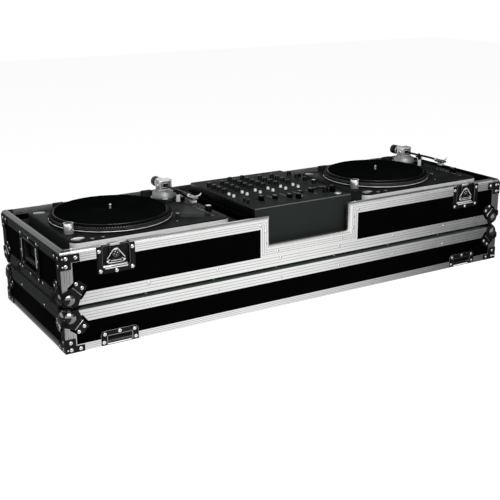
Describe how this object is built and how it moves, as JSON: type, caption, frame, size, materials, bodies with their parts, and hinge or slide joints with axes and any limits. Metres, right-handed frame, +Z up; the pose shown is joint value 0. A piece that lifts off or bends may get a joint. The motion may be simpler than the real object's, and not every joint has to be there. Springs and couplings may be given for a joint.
{
  "type": "dj coffin case",
  "caption": "Long two-tier flight case standing on its own lid, with a notched front, corner balls and twist latches, holding a mixer between record players.",
  "frame": {"origin": "centre of the case's bounding box, on the ground under the lid's rim", "axes": "+X along the case towards its right end, +Y to the back away from the notch, +Z up"},
  "size_m": [1.4888, 0.4846, 0.3296],
  "materials": {
    "black_laminate": "satin black laminated board, nearly smooth",
    "aluminium_trim": "satin anodised extrusion",
    "dark_nickel": "dark nickel plated pressed steel, semi-gloss",
    "latch_chrome": "bright plated steel",
    "grip_rubber": "soft black grip",
    "wheel_rubber": "matte black tread with a pale hub",
    "foam": "dark grey closed-cell foam",
    "deck_paint": "dark grey satin paint",
    "mat_rubber": "ribbed black mat on a dark platter",
    "silver": "satin silver",
    "mixer_paint": "dark grey satin paint",
    "knob_plastic": "matte black"
  },
  "bodies": {
    "lid": {"lid_shell": "black_laminate", "lid_edge_trim": "aluminium_trim", "lid_rim_trim": "aluminium_trim", "lid_foam": "foam", "lid_ball_corner_front_left": "dark_nickel", "lid_ball_corner_front_right": "dark_nickel", "lid_ball_corner_back_right": "dark_nickel", "lid_ball_corner_back_left": "dark_nickel", "lid_catch_front_left": "dark_nickel", "lid_catch_front_right": "dark_nickel", "lid_catch_back_left": "dark_nickel", "lid_catch_back_right": "dark_nickel"},
    "base": {"base_shell": "black_laminate", "base_edge_trim": "aluminium_trim", "base_rim_trim": "aluminium_trim", "base_lining": "foam", "base_ball_corner_front_left": "dark_nickel", "base_ball_corner_front_right": "dark_nickel", "base_ball_corner_back_right": "dark_nickel", "base_ball_corner_back_left": "dark_nickel", "latch_front_left_dish": "dark_nickel", "latch_front_right_dish": "dark_nickel", "latch_back_left_dish": "dark_nickel", "latch_back_right_dish": "dark_nickel", "handle_left_dish": "dark_nickel", "handle_right_dish": "dark_nickel"},
    "latch_front_left_rotor": {"latch_front_left_rotor": "latch_chrome"},
    "latch_front_left_wing": {"latch_front_left_wing": "latch_chrome"},
    "latch_front_left_hook": {"latch_front_left_hook": "latch_chrome"},
    "latch_front_right_rotor": {"latch_front_right_rotor": "latch_chrome"},
    "latch_front_right_wing": {"latch_front_right_wing": "latch_chrome"},
    "latch_front_right_hook": {"latch_front_right_hook": "latch_chrome"},
    "latch_back_left_rotor": {"latch_back_left_rotor": "latch_chrome"},
    "latch_back_left_wing": {"latch_back_left_wing": "latch_chrome"},
    "latch_back_left_hook": {"latch_back_left_hook": "latch_chrome"},
    "latch_back_right_rotor": {"latch_back_right_rotor": "latch_chrome"},
    "latch_back_right_wing": {"latch_back_right_wing": "latch_chrome"},
    "latch_back_right_hook": {"latch_back_right_hook": "latch_chrome"},
    "handle_left_grip": {"handle_left_grip": "grip_rubber"},
    "handle_right_grip": {"handle_right_grip": "grip_rubber"},
    "wheel_front": {"wheel_front": "wheel_rubber"},
    "wheel_back": {"wheel_back": "wheel_rubber"},
    "turntable_left": {"turntable_left_plinth": "deck_paint", "turntable_left_arm_base": "silver"},
    "turntable_left_platter": {"turntable_left_platter": "mat_rubber"},
    "turntable_left_tonearm": {"turntable_left_tonearm": "silver"},
    "turntable_left_pitch_slider": {"turntable_left_pitch_slider": "knob_plastic"},
    "turntable_left_start_button": {"turntable_left_start_button": "silver"},
    "turntable_left_power_dial": {"turntable_left_power_dial": "silver"},
    "turntable_right": {"turntable_right_plinth": "deck_paint", "turntable_right_arm_base": "silver"},
    "turntable_right_platter": {"turntable_right_platter": "mat_rubber"},
    "turntable_right_tonearm": {"turntable_right_tonearm": "silver"},
    "turntable_right_pitch_slider": {"turntable_right_pitch_slider": "knob_plastic"},
    "turntable_right_start_button": {"turntable_right_start_button": "silver"},
    "turntable_right_power_dial": {"turntable_right_power_dial": "silver"},
    "mixer": {"mixer_chassis": "mixer_paint"},
    "mixer_channel_fader": {"mixer_channel_fader": "knob_plastic"},
    "mixer_crossfader": {"mixer_crossfader": "knob_plastic"},
    "mixer_cue_knob": {"mixer_cue_knob": "knob_plastic"}
  },
  "joints": [
    {"name": "base_lift", "type": "slide", "parent": "lid", "child": "base", "axis": [0, 0, 1], "range_m": [0, 0.25]},
    {"name": "latch_front_left_turn", "type": "hinge", "parent": "base", "child": "latch_front_left_rotor", "pos_m": [-0.592, -0.236, 0.241], "axis": [0, -1, 0], "range_deg": [0, 180]},
    {"name": "latch_front_left_flip", "type": "hinge", "parent": "latch_front_left_rotor", "child": "latch_front_left_wing", "pos_m": [-0.592, -0.2336, 0.2278], "axis": [-1, 0, 0], "range_deg": [0, 90]},
    {"name": "latch_front_left_draw", "type": "slide", "parent": "base", "child": "latch_front_left_hook", "axis": [0, 0, 1], "range_m": [0, 0.01]},
    {"name": "latch_front_right_turn", "type": "hinge", "parent": "base", "child": "latch_front_right_rotor", "pos_m": [0.592, -0.236, 0.241], "axis": [0, -1, 0], "range_deg": [0, 180]},
    {"name": "latch_front_right_flip", "type": "hinge", "parent": "latch_front_right_rotor", "child": "latch_front_right_wing", "pos_m": [0.592, -0.2336, 0.2278], "axis": [-1, 0, 0], "range_deg": [0, 90]},
    {"name": "latch_front_right_draw", "type": "slide", "parent": "base", "child": "latch_front_right_hook", "axis": [0, 0, 1], "range_m": [0, 0.01]},
    {"name": "latch_back_left_turn", "type": "hinge", "parent": "base", "child": "latch_back_left_rotor", "pos_m": [-0.592, 0.236, 0.241], "axis": [0, 1, 0], "range_deg": [0, 180]},
    {"name": "latch_back_left_flip", "type": "hinge", "parent": "latch_back_left_rotor", "child": "latch_back_left_wing", "pos_m": [-0.592, 0.2336, 0.2278], "axis": [1, 0, 0], "range_deg": [0, 90]},
    {"name": "latch_back_left_draw", "type": "slide", "parent": "base", "child": "latch_back_left_hook", "axis": [0, 0, 1], "range_m": [0, 0.01]},
    {"name": "latch_back_right_turn", "type": "hinge", "parent": "base", "child": "latch_back_right_rotor", "pos_m": [0.592, 0.236, 0.241], "axis": [0, 1, 0], "range_deg": [0, 180]},
    {"name": "latch_back_right_flip", "type": "hinge", "parent": "latch_back_right_rotor", "child": "latch_back_right_wing", "pos_m": [0.592, 0.2336, 0.2278], "axis": [1, 0, 0], "range_deg": [0, 90]},
    {"name": "latch_back_right_draw", "type": "slide", "parent": "base", "child": "latch_back_right_hook", "axis": [0, 0, 1], "range_m": [0, 0.01]},
    {"name": "handle_left_lift", "type": "hinge", "parent": "base", "child": "handle_left_grip", "pos_m": [-0.7304, 0, 0.2205], "axis": [0, 1, 0], "range_deg": [0, 90], "stiffness_Nm_per_rad": 0.4, "springref_deg": -20.05},
    {"name": "handle_right_lift", "type": "hinge", "parent": "base", "child": "handle_right_grip", "pos_m": [0.7304, 0, 0.2205], "axis": [0, -1, 0], "range_deg": [0, 90], "stiffness_Nm_per_rad": 0.4, "springref_deg": -20.05},
    {"name": "wheel_front_roll", "type": "hinge", "parent": "base", "child": "wheel_front", "pos_m": [-0.7225, -0.157, 0.1325], "axis": [0, 1, 0], "continuous": true},
    {"name": "wheel_back_roll", "type": "hinge", "parent": "base", "child": "wheel_back", "pos_m": [-0.7225, 0.117, 0.1325], "axis": [0, 1, 0], "continuous": true},
    {"name": "turntable_left_lift", "type": "slide", "parent": "base", "child": "turntable_left", "axis": [0, 0, 1], "range_m": [0, 0.2]},
    {"name": "turntable_left_spin", "type": "hinge", "parent": "turntable_left", "child": "turntable_left_platter", "pos_m": [-0.514, -0.023, 0.2946], "axis": [0, 0, 1], "continuous": true},
    {"name": "turntable_left_swing", "type": "hinge", "parent": "turntable_left", "child": "turntable_left_tonearm", "pos_m": [-0.297, 0.093, 0.3136], "axis": [0, 0, -1], "range_deg": [0, 50]},
    {"name": "turntable_left_pitch", "type": "slide", "parent": "turntable_left", "child": "turntable_left_pitch_slider", "axis": [0, 1, 0], "range_m": [-0.05, 0.06]},
    {"name": "turntable_left_start", "type": "slide", "parent": "turntable_left", "child": "turntable_left_start_button", "axis": [0, 0, -1], "range_m": [0, 0.0012], "stiffness_N_per_m": 400, "springref_m": -0.001},
    {"name": "turntable_left_power", "type": "hinge", "parent": "turntable_left", "child": "turntable_left_power_dial", "pos_m": [-0.66849, -0.11693, 0.2846], "axis": [0, 0, 1], "range_deg": [0, 60]},
    {"name": "turntable_right_lift", "type": "slide", "parent": "base", "child": "turntable_right", "axis": [0, 0, 1], "range_m": [0, 0.2]},
    {"name": "turntable_right_spin", "type": "hinge", "parent": "turntable_right", "child": "turntable_right_platter", "pos_m": [0.3981, -0.023, 0.2946], "axis": [0, 0, 1], "continuous": true},
    {"name": "turntable_right_swing", "type": "hinge", "parent": "turntable_right", "child": "turntable_right_tonearm", "pos_m": [0.6151, 0.093, 0.3136], "axis": [0, 0, -1], "range_deg": [0, 50]},
    {"name": "turntable_right_pitch", "type": "slide", "parent": "turntable_right", "child": "turntable_right_pitch_slider", "axis": [0, 1, 0], "range_m": [-0.05, 0.06]},
    {"name": "turntable_right_start", "type": "slide", "parent": "turntable_right", "child": "turntable_right_start_button", "axis": [0, 0, -1], "range_m": [0, 0.0012], "stiffness_N_per_m": 400, "springref_m": -0.001},
    {"name": "turntable_right_power", "type": "hinge", "parent": "turntable_right", "child": "turntable_right_power_dial", "pos_m": [0.24361, -0.11693, 0.2846], "axis": [0, 0, 1], "range_deg": [0, 60]},
    {"name": "mixer_lift", "type": "slide", "parent": "base", "child": "mixer", "axis": [0, 0, 1], "range_m": [0, 0.2]},
    {"name": "mixer_channel_fade", "type": "slide", "parent": "mixer", "child": "mixer_channel_fader", "axis": [0, 1, 0], "range_m": [-0.02, 0.04]},
    {"name": "mixer_crossfade", "type": "slide", "parent": "mixer", "child": "mixer_crossfader", "axis": [1, 0, 0], "range_m": [-0.035, 0.024]},
    {"name": "mixer_cue_turn", "type": "hinge", "parent": "mixer", "child": "mixer_cue_knob", "pos_m": [0.137, -0.149, 0.296], "axis": [0, 0, 1], "range_deg": [-150, 150]}
  ],
  "couplings": [
    {"joint": "latch_front_left_draw", "follows": "latch_front_left_turn", "m_per_rad": 0.00318},
    {"joint": "latch_front_right_draw", "follows": "latch_front_right_turn", "m_per_rad": 0.00318},
    {"joint": "latch_back_left_draw", "follows": "latch_back_left_turn", "m_per_rad": 0.00318},
    {"joint": "latch_back_right_draw", "follows": "latch_back_right_turn", "m_per_rad": 0.00318}
  ]
}
